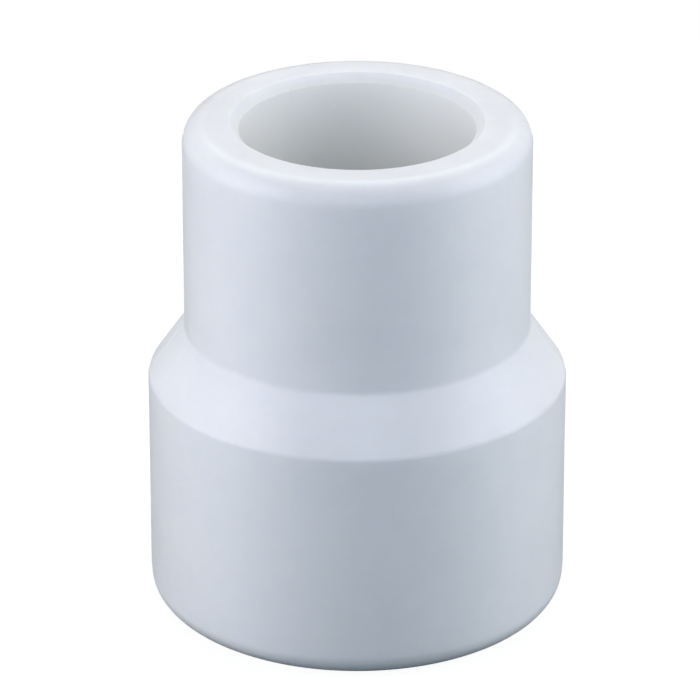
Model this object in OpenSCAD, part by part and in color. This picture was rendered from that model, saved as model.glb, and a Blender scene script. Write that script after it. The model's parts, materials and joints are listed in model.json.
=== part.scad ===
// Socket-fusion reducing socket for plastic water pipe: one moulded body with a
// large socket below, a conical shoulder, and a small socket above.
// The axis is Z, the large mouth rests on z = 0, and the small mouth faces +Z.

/* [Outside] */
// Outer diameter of the large end
large_od = 34.3; // [33.5:0.1:36]
// Outer diameter of the small end
small_od = 28.3; // [27:0.1:30]
// Overall length along the axis
length = 42; // [41:0.5:46]
// Height where the straight large end stops and the shoulder starts
shoulder_low = 19.8; // [19:0.1:20.5]
// Height where the shoulder meets the small end
shoulder_high = 24.2; // [23.5:0.1:25.5]

/* [Large socket] */
// Bore of the large socket, which holds the larger pipe
large_bore_d = 24; // [23.6:0.1:24.4]
// Depth of the large socket from its mouth to the pipe stop
large_depth = 16.5; // [16:0.1:17.5]

/* [Small socket] */
// Bore of the small socket, which holds the smaller pipe
small_bore_d = 19.2; // [18.9:0.1:19.5]
// Depth of the small socket from its mouth to the pipe stop
small_depth = 15; // [14.5:0.1:15.5]

/* [Waterway] */
// Opening at the pipe stop in the large socket
wide_throat_d = 18.4; // [18:0.1:20]
// Bore of the straight throat below the small socket
throat_d = 13.6; // [13:0.1:15]
// Height where the tapered throat becomes straight
throat_start = 22.5; // [21:0.1:24]

/* [Edges] */
// Rounding of the outer rim at the large mouth
large_rim_r = 2.1; // [0.5:0.1:2.5]
// Rounding of the outer rim at the small mouth
small_rim_r = 1.8; // [0.5:0.1:2]
// Blend where the shoulder meets each straight end
shoulder_r = 0.8; // [0.2:0.1:1.5]
// Width of the lead-in around each mouth
lead_in = 0.7; // [0.3:0.1:0.8]
// Depth of the lead-in down each socket
lead_in_depth = 0.7; // [0.2:0.1:0.8]
// Root radius where each socket wall meets its pipe stop
root_r = 0.5; // [0.2:0.1:0.8]
// Small break on the remaining sharp edges
edge_r = 0.15; // [0.05:0.05:0.2]

/* [Hidden] */
$fn = 128;
// Largest turn of the surface between two points of a rounded corner, in degrees
arc_step = 9;
large_r = large_od / 2;
small_r = small_od / 2;
large_bore_r = large_bore_d / 2;
small_bore_r = small_bore_d / 2;
stop_high = length - small_depth;

// Half of the section as [radius, height, corner radius]: up through the bore
// from the large mouth to the small one, then down the outside.
SECTION = [
    [large_bore_r + lead_in, 0, edge_r],
    [large_bore_r, lead_in_depth, edge_r],
    [large_bore_r, large_depth, root_r],
    [wide_throat_d / 2, large_depth, root_r],
    [throat_d / 2, throat_start, root_r],
    [throat_d / 2, stop_high, root_r],
    [small_bore_r, stop_high, root_r],
    [small_bore_r, length - lead_in_depth, edge_r],
    [small_bore_r + lead_in, length, edge_r],
    [small_r, length, small_rim_r],
    [small_r, shoulder_high, shoulder_r],
    [large_r, shoulder_low, shoulder_r],
    [large_r, 0, large_rim_r]
];

function unit(v) = v / norm(v);

// Points of a tangent arc that rounds corner b between its neighbours a and c.
function rounded_corner(a, b, c, r) =
    let (
        to_a = unit(a - b),
        to_c = unit(c - b),
        half = acos(to_a * to_c) / 2,
        centre = b + unit(to_a + to_c) * r / sin(half),
        start = b + to_a * r / tan(half) - centre,
        end = b + to_c * r / tan(half) - centre,
        turn = 180 - 2 * half,
        steps = ceil(turn / arc_step)
    )
    [for (i = [0:steps])
        centre + (start * sin(turn * (1 - i / steps)) + end * sin(turn * i / steps))
            / sin(turn)];

// An outline with every corner replaced by its tangent arc.
function rounded_outline(corners) =
    let (
        count = len(corners),
        place = [for (corner = corners) [corner[0], corner[1]]]
    )
    [for (i = [0:count - 1])
        each rounded_corner(
            place[(i + count - 1) % count], place[i], place[(i + 1) % count],
            corners[i][2])];

module reducer_body() {
    color("aliceblue")
        rotate_extrude()
            polygon(rounded_outline(SECTION));
}

reducer_body();
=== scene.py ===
"""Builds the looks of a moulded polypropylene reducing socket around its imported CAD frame.

The one CAD node is replaced by a finely lathed mesh of the same section, which adds what
the mould leaves on such a part: parting lines, a gate mark, an ejector ring and slight
unevenness. Lengths are in metres, in the frame's own axes.
"""

import json
import math

import bpy
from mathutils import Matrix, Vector, noise


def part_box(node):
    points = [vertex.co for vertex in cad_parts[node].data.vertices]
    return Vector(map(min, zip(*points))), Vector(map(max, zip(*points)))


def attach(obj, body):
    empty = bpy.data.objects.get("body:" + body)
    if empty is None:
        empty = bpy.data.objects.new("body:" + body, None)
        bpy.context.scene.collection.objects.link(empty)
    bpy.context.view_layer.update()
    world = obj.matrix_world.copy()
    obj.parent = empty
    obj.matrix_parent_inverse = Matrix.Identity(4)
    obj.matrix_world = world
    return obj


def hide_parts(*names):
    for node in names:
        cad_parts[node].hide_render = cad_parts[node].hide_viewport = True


MM = 0.001
NODE = "reducer_body"

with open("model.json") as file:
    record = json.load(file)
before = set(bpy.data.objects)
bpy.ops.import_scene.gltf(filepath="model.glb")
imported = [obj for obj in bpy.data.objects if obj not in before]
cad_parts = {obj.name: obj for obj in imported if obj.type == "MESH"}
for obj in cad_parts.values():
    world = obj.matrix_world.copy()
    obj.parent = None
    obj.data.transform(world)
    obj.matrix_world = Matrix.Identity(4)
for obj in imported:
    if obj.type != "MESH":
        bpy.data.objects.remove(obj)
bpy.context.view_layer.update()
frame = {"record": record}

# ---------------------------------------------------------------- sizes from the frame
low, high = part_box(NODE)
MOUNTS = {mount["name"]: mount for mount in frame["record"]["mounts"]}
LARGE_R = high.x
LENGTH = high.z
SMALL_BORE_R = MOUNTS["small_socket"]["dims"]["r_mm"] * MM
LARGE_BORE_R = MOUNTS["large_socket"]["dims"]["r_mm"] * MM

# ---------------------------------------------------------------- sizes of the section
SMALL_R = 14.15 * MM
SHOULDER_LOW = 19.8 * MM
SHOULDER_HIGH = 24.2 * MM
SMALL_STOP = LENGTH - 15.0 * MM
LARGE_STOP = 16.5 * MM
WIDE_THROAT_R = 9.2 * MM
THROAT_R = 6.8 * MM
THROAT_START = 22.5 * MM
LARGE_RIM_R = 2.1 * MM
SMALL_RIM_R = 1.8 * MM
SHOULDER_R = 0.8 * MM
LEAD_IN = 0.7 * MM
LEAD_IN_DEPTH = 0.7 * MM
ROOT_R = 0.5 * MM
EDGE_R = 0.15 * MM

# Half of the section as (radius, height, corner radius): up the bore, then down the outside.
SECTION = [
    (LARGE_BORE_R + LEAD_IN, 0.0, EDGE_R),
    (LARGE_BORE_R, LEAD_IN_DEPTH, EDGE_R),
    (LARGE_BORE_R, LARGE_STOP, ROOT_R),
    (WIDE_THROAT_R, LARGE_STOP, ROOT_R),
    (THROAT_R, THROAT_START, ROOT_R),
    (THROAT_R, SMALL_STOP, ROOT_R),
    (SMALL_BORE_R, SMALL_STOP, ROOT_R),
    (SMALL_BORE_R, LENGTH - LEAD_IN_DEPTH, EDGE_R),
    (SMALL_BORE_R + LEAD_IN, LENGTH, EDGE_R),
    (SMALL_R, LENGTH, SMALL_RIM_R),
    (SMALL_R, SHOULDER_HIGH, SHOULDER_R),
    (LARGE_R, SHOULDER_LOW, SHOULDER_R),
    (LARGE_R, 0.0, LARGE_RIM_R),
]
OUTSIDE_CORNERS = (9, 12)  # the first and last corner of the outside surface in SECTION

# ---------------------------------------------------------------- what the mould leaves
PARTING_ANGLES = (0.0, math.pi)
PARTING_HEIGHT = 0.045 * MM
PARTING_WIDTH = 0.11 * MM
GATE_ANGLE = math.radians(90)
GATE_Z = 9.5 * MM
GATE_R = 1.5 * MM
GATE_DEPTH = 0.18 * MM
GATE_NUB_R = 0.55 * MM
GATE_NUB_HEIGHT = 0.13 * MM
# Where the well and the stub start and where they are full, in their own radii
GATE_SOFT = (1.15, 0.85)
GATE_NUB_SOFT = (1.15, 0.75)
GATE_TEAR = 0.35  # unevenness of the torn stub, as a share of its height
GATE_TEAR_SCALE = (90, 4 / MM)  # lumps per radian and per metre
RING_R = 13.6 * MM
RING_DEPTH = 0.04 * MM
RING_WIDTH = 0.09 * MM
WAVE_HEIGHT = 0.022 * MM
WAVE_LENGTH = 8.0 * MM

# ---------------------------------------------------------------- spacing of the mesh
ARC_STEP = math.radians(7.5)
FEWEST_ARC_STEPS = 3
ROW_STEP = 0.9 * MM
COLUMN_STEP = math.radians(2.5)
ROW_GAP = 0.03 * MM  # rows closer than this are dropped, and so are columns below
COLUMN_GAP = math.radians(0.1)
# Closer spacing at a mould mark, as a step and how many steps it reaches to each side
GATE_ROWS = (0.1 * MM, 18)
GATE_COLUMNS = (math.radians(0.36), 17)
RING_ROWS = (0.04 * MM, 6)
PARTING_COLUMNS = (math.radians(0.18), 8)


def smooth(low_end, high_end, x):
    """0 below low_end, 1 above high_end, and a smooth rise between them."""
    t = min(1.0, max(0.0, (x - low_end) / (high_end - low_end)))
    return t * t * (3 - 2 * t)


def bell(x, width):
    return math.exp(-((x / width) ** 2))


def rounded_corner(before, corner, after, radius):
    """Points of the tangent arc that rounds a corner of the section."""
    to_before = (before - corner).normalized()
    to_after = (after - corner).normalized()
    half = to_before.angle(to_after) / 2
    centre = corner + (to_before + to_after).normalized() * radius / math.sin(half)
    start = corner + to_before * radius / math.tan(half) - centre
    end = corner + to_after * radius / math.tan(half) - centre
    turn = math.pi - 2 * half
    steps = max(FEWEST_ARC_STEPS, math.ceil(turn / ARC_STEP))
    return [
        centre
        + (start * math.sin(turn - turn * i / steps) + end * math.sin(turn * i / steps))
        / math.sin(turn)
        for i in range(steps + 1)
    ]


def section_rows():
    """The closed section as points (radius, height), each with whether it is outside."""
    places = [Vector((r, z)) for r, z, _ in SECTION]
    count = len(places)
    arcs = [
        rounded_corner(places[i - 1], places[i], places[(i + 1) % count], SECTION[i][2])
        for i in range(count)
    ]
    rows = []
    for i, arc in enumerate(arcs):
        outside = OUTSIDE_CORNERS[0] <= i <= OUTSIDE_CORNERS[1]
        rows += [(point, outside) for point in arc]
        start, end = arc[-1], arcs[(i + 1) % count][0]
        on_run = OUTSIDE_CORNERS[0] <= i < OUTSIDE_CORNERS[1]
        rows += [(start.lerp(end, share), on_run) for share in run_shares(start, end)]
    return rows


def around(centre, step, reach):
    """Evenly spaced values on both sides of a centre."""
    return [centre + step * i for i in range(-reach, reach + 1)]


def run_shares(start, end):
    """Where a straight run gets rows: evenly, and closer at the gate and the ejector ring."""
    length = (end - start).length
    steps = max(1, round(length / ROW_STEP))
    shares = {i / steps for i in range(1, steps)}
    on_large_end = min(start.x, end.x) > LARGE_R - EDGE_R
    if on_large_end:
        shares |= {(z - start.y) / (end.y - start.y) for z in around(GATE_Z, *GATE_ROWS)}
    on_large_rim = max(start.y, end.y) < EDGE_R
    if on_large_rim:
        shares |= {(r - start.x) / (end.x - start.x) for r in around(RING_R, *RING_ROWS)}
    return spaced(shares, ROW_GAP / length)


def spaced(values, gap):
    """The values in order, without those closer than gap to the one before."""
    kept = []
    for value in sorted(values):
        if not kept or value - kept[-1] > gap:
            kept.append(value)
    return kept


def column_angles():
    """Angles round the axis: evenly spaced, and closer at the parting lines and the gate."""
    turn = 2 * math.pi
    angles = {i * COLUMN_STEP for i in range(round(turn / COLUMN_STEP))}
    for line in PARTING_ANGLES:
        angles |= {angle % turn for angle in around(line, *PARTING_COLUMNS)}
    angles |= set(around(GATE_ANGLE, *GATE_COLUMNS))
    return spaced(angles, COLUMN_GAP)


def turned_from(angle, line):
    """How far an angle is from a line, the short way round."""
    return abs((angle - line + math.pi) % (2 * math.pi) - math.pi)


def outside_relief(angle, radius, z):
    """How far the moulded outside stands proud of the plain lathed section."""
    position = Vector((math.cos(angle) * radius, math.sin(angle) * radius, z)) / WAVE_LENGTH
    inside_rims = smooth(0.0, LARGE_RIM_R, z) * smooth(LENGTH, LENGTH - SMALL_RIM_R, z)
    relief = WAVE_HEIGHT * noise.noise(position) * inside_rims
    for line in PARTING_ANGLES:
        flash = bell(turned_from(angle, line) * radius, PARTING_WIDTH)
        relief += PARTING_HEIGHT * flash * inside_rims
    from_gate = math.hypot(turned_from(angle, GATE_ANGLE) * radius, z - GATE_Z)
    return relief + gate_relief(from_gate, angle, z)


def gate_relief(distance, angle, z):
    """A shallow round well with the torn stub of the gate in its middle, as a height."""
    if distance > GATE_R * GATE_SOFT[0]:
        return 0.0
    well = -GATE_DEPTH * smooth(*GATE_SOFT, distance / GATE_R)
    torn = noise.noise(Vector((angle * GATE_TEAR_SCALE[0], z * GATE_TEAR_SCALE[1], 0)))
    stub = smooth(*GATE_NUB_SOFT, distance / GATE_NUB_R)
    return well + GATE_NUB_HEIGHT * stub * (1 + GATE_TEAR * torn)


def rim_relief(radius, z):
    """The fine groove that the ejector sleeve leaves in the large rim."""
    on_rim = z < EDGE_R / 2 and radius > LARGE_BORE_R + LEAD_IN
    return RING_DEPTH * bell(radius - RING_R, RING_WIDTH) if on_rim else 0.0


def outward(rows, i):
    """The section's outward normal at row i, from its neighbours."""
    along = rows[(i + 1) % len(rows)][0] - rows[i - 1][0]
    return Vector((-along.y, along.x)).normalized()


def lattice_faces(down, across, closed):
    """Quads over a lattice that closes round its columns, and over its rows too if asked."""
    return [
        (
            i * across + j,
            (i + 1) % down * across + j,
            (i + 1) % down * across + (j + 1) % across,
            i * across + (j + 1) % across,
        )
        for i in range(down if closed else down - 1)
        for j in range(across)
    ]


def build_body():
    """The whole moulding as one closed mesh of quads."""
    rows = section_rows()
    angles = column_angles()
    points = []
    for i, (place, outside) in enumerate(rows):
        normal = outward(rows, i)
        for angle in angles:
            relief = outside_relief(angle, place.x, place.y) if outside else 0.0
            radius = place.x + normal.x * relief
            height = place.y + normal.y * relief + rim_relief(place.x, place.y)
            points.append((math.cos(angle) * radius, math.sin(angle) * radius, max(0.0, height)))
    across = len(angles)
    faces = lattice_faces(len(rows), across, True)
    mesh = bpy.data.meshes.new("moulded_body")
    mesh.from_pydata(points, [], faces)
    mesh.shade_smooth()
    body = bpy.data.objects.new("moulded_body", mesh)
    bpy.context.scene.collection.objects.link(body)
    body.modifiers.new("even_normals", "WEIGHTED_NORMAL").keep_sharp = True
    return body


# ---------------------------------------------------------------- looks of the plastic
# Noises, as (lumps per metre, detail, roughness)
FLOW = (130.0, 3.0, 0.5)
MOTTLE = (700.0, 2.0, 0.5)
SKIN = (5200.0, 2.0, 0.5)
SMEARS = (210.0, 4.0, 0.62)
FLOW_SHARE, MOTTLE_SHARE = 0.7, 0.3  # of the shade
SKIN_SHARE, SMEAR_SHARE = 0.35, 0.65  # of the roughness
STREAK_GRAIN = (5200.0, 1.0, 0.5)
STREAK_LENGTHEN = 0.05
STREAK_TURNS = ((0.5, 0.3, 0.0), (-0.9, 0.7, 0.0))
# Where a noise starts to show, and where it shows fully
STREAKS_SHOW = (0.66, 0.74)
SCUFFS_SHOW = (0.50, 0.62)
WEAR_SHOWS = (0.40, 0.66)
SHADES_SHOW = (0.30, 0.70)
SATIN_SHOWS = (0.3, 0.7)

DARK_SHADE = (0.815, 0.828, 0.850, 1)
LIGHT_SHADE = (0.860, 0.870, 0.888, 1)
# Painted light: the bores get a warmer, less blue colour that stands in for the light bounced about
# inside them, not a tint of the plastic.
BORE_PAINTED_LIGHT_TINT = (0.840, 0.846, 0.832, 1)
WORN_SHADE = (0.76, 0.765, 0.775, 1)
WORN_TINT = 0.35
SCUFF_TINT = 0.25
SATIN = (0.34, 0.50)  # lowest and highest roughness of the clean skin
WORN_POLISH = 0.08
SCUFF_ROUGHNESS = 0.12
SKIN_STRENGTH = 0.12
SKIN_DEPTH = 0.04 * MM
SCUFF_DEPTH = 0.5  # share of the skin's depth
RIM_WEAR = 1.6 * MM
EDGE_WEAR = 1.2 * MM
BORE_LIGHT_TINT_FADE = (0.4 * MM, 0.1 * MM)  # the painted tint of the bores' light fades in between these gaps from their walls
PLASTIC_IOR = 1.49
PLASTIC_SPECULAR = 0.35
SCATTER_WEIGHT = 0.8
SCATTER_RADIUS = (1.0, 0.95, 0.85)
SCATTER_SCALE = 1.2 * MM


def node_material(name):
    material = bpy.data.materials.new(name)
    material.use_nodes = True
    tree = material.node_tree
    tree.nodes.clear()
    shader = tree.nodes.new("ShaderNodeBsdfPrincipled")
    output = tree.nodes.new("ShaderNodeOutputMaterial")
    tree.links.new(shader.outputs["BSDF"], output.inputs["Surface"])
    return material, tree, shader


def noise_texture(tree, vector, scale, detail, roughness):
    texture = tree.nodes.new("ShaderNodeTexNoise")
    texture.inputs["Scale"].default_value = scale
    texture.inputs["Detail"].default_value = detail
    texture.inputs["Roughness"].default_value = roughness
    tree.links.new(vector, texture.inputs["Vector"])
    return texture.outputs["Fac"]


def remap(tree, value, from_ends, to_ends=(0.0, 1.0)):
    """The value moved from one range to another, and held inside it."""
    node = tree.nodes.new("ShaderNodeMapRange")
    sockets = ("From Min", "From Max", "To Min", "To Max")
    for socket, number in zip(sockets, (*from_ends, *to_ends), strict=True):
        node.inputs[socket].default_value = number
    tree.links.new(value, node.inputs["Value"])
    return node.outputs["Result"]


def calculate(tree, operation, first, second):
    node = tree.nodes.new("ShaderNodeMath")
    node.operation = operation
    for socket, value in zip(node.inputs, (first, second), strict=False):
        if isinstance(value, (int, float)):
            socket.default_value = value
        else:
            tree.links.new(value, socket)
    return node.outputs["Value"]


def weighted(tree, first, first_share, second, second_share):
    """The sum of two values, each times its share."""
    parts = [
        calculate(tree, "MULTIPLY", value, share)
        for value, share in ((first, first_share), (second, second_share))
    ]
    return calculate(tree, "ADD", *parts)


def mixed(tree, factor, first, second_colour):
    """The first colour turned towards a fixed second one by a factor."""
    node = tree.nodes.new("ShaderNodeMix")
    node.data_type = "RGBA"
    node.inputs["B"].default_value = second_colour
    tree.links.new(factor, node.inputs["Factor"])
    tree.links.new(first, node.inputs["A"])
    return node.outputs["Result"]


def streaks(tree, place, turn):
    """Fine, long streaks, white on black, lying across the surface at an angle."""
    mapping = tree.nodes.new("ShaderNodeMapping")
    mapping.inputs["Rotation"].default_value = turn
    mapping.inputs["Scale"].default_value = (1.0, 1.0, STREAK_LENGTHEN)
    tree.links.new(place, mapping.inputs["Vector"])
    grain = noise_texture(tree, mapping.outputs["Vector"], *STREAK_GRAIN)
    return remap(tree, grain, STREAKS_SHOW)


def band(tree, height, centre, half_width):
    """1 at a height up the axis, fading to 0 at half_width above and below it."""
    offset = calculate(tree, "SUBTRACT", height, centre)
    distance = calculate(tree, "ABSOLUTE", offset, 0.0)
    return remap(tree, distance, (0.0, half_width), (1.0, 0.0))


def inside(tree, axes):
    """1 on the walls of both sockets and the throat, where the painted tint of the bores' light
    goes, and 0 outside.
    """
    squares = [
        calculate(tree, "MULTIPLY", axes.outputs[name], axes.outputs[name]) for name in ("X", "Y")
    ]
    radius = calculate(tree, "SQRT", calculate(tree, "ADD", *squares), 0.0)
    reach = [
        remap(tree, radius, [bore + gap for gap in BORE_LIGHT_TINT_FADE])
        for bore in (SMALL_BORE_R, LARGE_BORE_R)
    ]
    low_enough = calculate(tree, "LESS_THAN", axes.outputs["Z"], LARGE_STOP)
    return calculate(tree, "MAXIMUM", reach[0], calculate(tree, "MULTIPLY", reach[1], low_enough))


def worn_edges(tree, height, smears):
    """1 where the rims and the shoulder's edge are worn, in patches."""
    edges = band(tree, height, 0.0, RIM_WEAR)
    for edge in (SHOULDER_LOW, LENGTH):
        edges = calculate(tree, "MAXIMUM", edges, band(tree, height, edge, EDGE_WEAR))
    return calculate(tree, "MULTIPLY", edges, remap(tree, smears, WEAR_SHOWS))


def plastic():
    """White polypropylene: a fine satin skin, faint flow marks, scuffs, worn edges, and a painted
    warm tint of the light inside the bores.
    """
    material, tree, shader = node_material("moulded_polypropylene")
    place = tree.nodes.new("ShaderNodeTexCoord").outputs["Object"]
    axes = tree.nodes.new("ShaderNodeSeparateXYZ")
    tree.links.new(place, axes.inputs["Vector"])

    flow = noise_texture(tree, place, *FLOW)
    mottle = noise_texture(tree, place, *MOTTLE)
    skin = noise_texture(tree, place, *SKIN)
    smears = noise_texture(tree, place, *SMEARS)

    crossed = calculate(tree, "MAXIMUM", *[streaks(tree, place, turn) for turn in STREAK_TURNS])
    scuffs = calculate(tree, "MULTIPLY", crossed, remap(tree, smears, SCUFFS_SHOW))
    worn = worn_edges(tree, axes.outputs["Z"], smears)

    clean = tree.nodes.new("ShaderNodeValToRGB")
    ends = zip(clean.color_ramp.elements, SHADES_SHOW, (DARK_SHADE, LIGHT_SHADE), strict=True)
    for element, position, colour in ends:
        element.position = position
        element.color = colour
    shade = weighted(tree, flow, FLOW_SHARE, mottle, MOTTLE_SHARE)
    tree.links.new(shade, clean.inputs["Fac"])
    # Painted light: the walls of the bores are turned towards a warmer colour that stands in for
    # the light bounced about inside them.
    with_painted_bore_light = mixed(tree, inside(tree, axes), clean.outputs["Color"], BORE_PAINTED_LIGHT_TINT)
    marks = weighted(tree, worn, WORN_TINT, scuffs, SCUFF_TINT)
    tree.links.new(mixed(tree, marks, with_painted_bore_light, WORN_SHADE), shader.inputs["Base Color"])

    polish = weighted(tree, skin, SKIN_SHARE, smears, SMEAR_SHARE)
    satin = remap(tree, polish, SATIN_SHOWS, SATIN)
    rubbed = calculate(tree, "SUBTRACT", satin, calculate(tree, "MULTIPLY", worn, WORN_POLISH))
    scratched = calculate(tree, "ADD", rubbed, calculate(tree, "MULTIPLY", scuffs, SCUFF_ROUGHNESS))
    tree.links.new(scratched, shader.inputs["Roughness"])

    bump = tree.nodes.new("ShaderNodeBump")
    bump.inputs["Strength"].default_value = SKIN_STRENGTH
    bump.inputs["Distance"].default_value = SKIN_DEPTH
    relief = calculate(tree, "SUBTRACT", skin, calculate(tree, "MULTIPLY", scuffs, SCUFF_DEPTH))
    tree.links.new(relief, bump.inputs["Height"])
    tree.links.new(bump.outputs["Normal"], shader.inputs["Normal"])

    shader.inputs["IOR"].default_value = PLASTIC_IOR
    shader.inputs["Specular IOR Level"].default_value = PLASTIC_SPECULAR
    shader.inputs["Subsurface Weight"].default_value = SCATTER_WEIGHT
    shader.inputs["Subsurface Radius"].default_value = SCATTER_RADIUS
    shader.inputs["Subsurface Scale"].default_value = SCATTER_SCALE
    return material


def pale(name, colour, glow):
    """The stage's own plain matt material, which may also glow."""
    material, tree, shader = node_material(name)
    shader.inputs["Base Color"].default_value = (*colour, 1)
    shader.inputs["Roughness"].default_value = STAGE_ROUGHNESS
    shader.inputs["Specular IOR Level"].default_value = 0.0
    shader.inputs["Emission Color"].default_value = (1, 1, 1, 1)
    shader.inputs["Emission Strength"].default_value = glow
    return material


# ---------------------------------------------------------------- stage, lights and camera
STAGE_REACH = 1.5
STAGE_CURVE = 0.7
STAGE_COLUMNS = 96
STAGE_CURVE_STEPS = 12
TABLE_DROP = 0.5 * MM
FLOOR_COLOUR = (0.10, 0.10, 0.10)
FLOOR_GLOW = 0.935
TABLE_COLOUR = (0.15, 0.19, 0.185)
STAGE_ROUGHNESS = 0.9
LIGHTS = {
    # name: azimuth, elevation, distance, width, height, power, colour
    "left": (-70, 20, 0.18, 0.12, 0.17, 0.270, (0.94, 0.94, 1.0)),
    "right": (82, 22, 0.18, 0.12, 0.16, 0.266, (0.92, 0.94, 1.0)),
    "back": (180, 54, 0.17, 0.17, 0.12, 0.190, (1.0, 1.0, 0.99)),
    "front": (0, 26, 0.22, 0.13, 0.11, 0.141, (0.72, 0.83, 1.0)),
}


def direction(azimuth, elevation):
    """Unit vector from the object towards a view; azimuth 0 is the -Y side and 90 is +X."""
    a, e = math.radians(azimuth), math.radians(elevation)
    return Vector((math.sin(a) * math.cos(e), -math.cos(a) * math.cos(e), math.sin(e)))


def add_light(name, azimuth, elevation, distance, width, height, power, colour):
    data = bpy.data.lights.new(name, "AREA")
    data.shape = "RECTANGLE"
    data.size, data.size_y = width, height
    data.energy = power
    data.color = colour
    light = bpy.data.objects.new(name, data)
    light.location = Vector((0, 0, LENGTH / 2)) + direction(azimuth, elevation) * distance
    light.rotation_euler = direction(azimuth, elevation).to_track_quat("Z", "Y").to_euler()
    light.visible_camera = False
    bpy.context.scene.collection.objects.link(light)


def build_bowl(name, height, material):
    """A plain floor that curves up into a backdrop all round, like a light tent."""
    turn = math.pi / 2 / STAGE_CURVE_STEPS
    curve = [
        (STAGE_REACH + STAGE_CURVE * math.sin(turn * i), STAGE_CURVE * (1 - math.cos(turn * i)))
        for i in range(STAGE_CURVE_STEPS + 1)
    ]
    rows = [(MM, 0.0), *curve, (STAGE_REACH + STAGE_CURVE, 2 * STAGE_REACH)]
    turns = [2 * math.pi * j / STAGE_COLUMNS for j in range(STAGE_COLUMNS)]
    points = [(math.cos(t) * r, math.sin(t) * r, z + height) for r, z in rows for t in turns]
    mesh = bpy.data.meshes.new(name)
    centre = tuple(range(STAGE_COLUMNS))
    mesh.from_pydata(points, [], [*lattice_faces(len(rows), STAGE_COLUMNS, False), centre])
    mesh.materials.append(material)
    bowl = bpy.data.objects.new(name, mesh)
    bpy.context.scene.collection.objects.link(bowl)
    return bowl


def build_stage():
    """A bright floor that only the camera sees, over a grey table that bounces the light."""
    floor = build_bowl("floor", 0.0, pale("pale_floor", FLOOR_COLOUR, FLOOR_GLOW))
    floor.visible_diffuse = floor.visible_glossy = floor.visible_shadow = False
    table = build_bowl("table", -TABLE_DROP, pale("grey_table", TABLE_COLOUR, 0.0))
    table.visible_camera = False


def light_scene():
    world = bpy.data.worlds.new("studio")
    world.use_nodes = True
    world.node_tree.nodes["Background"].inputs["Strength"].default_value = 0.0
    bpy.context.scene.world = world
    for name, settings in LIGHTS.items():
        add_light(name, *settings)


CAMERA_AIM = Vector((-0.60 * MM, 0, 21.53 * MM))
CAMERA_ELEVATION = 24.96
CAMERA_DISTANCE = 0.4462
CAMERA_LENS = 279.2
CAMERA_SENSOR = 36


def add_camera():
    data = bpy.data.cameras.new("camera")
    data.sensor_width = CAMERA_SENSOR
    data.lens = CAMERA_LENS
    camera = bpy.data.objects.new("camera", data)
    towards = direction(0, CAMERA_ELEVATION)
    camera.location = CAMERA_AIM + towards * CAMERA_DISTANCE
    camera.rotation_euler = towards.to_track_quat("Z", "Y").to_euler()
    bpy.context.scene.collection.objects.link(camera)
    bpy.context.scene.camera = camera


add_camera()
build_stage()
light_scene()
bpy.context.scene.view_settings.view_transform = "Standard"

body = build_body()
body.data.materials.append(plastic())
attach(body, "root")
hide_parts(NODE)
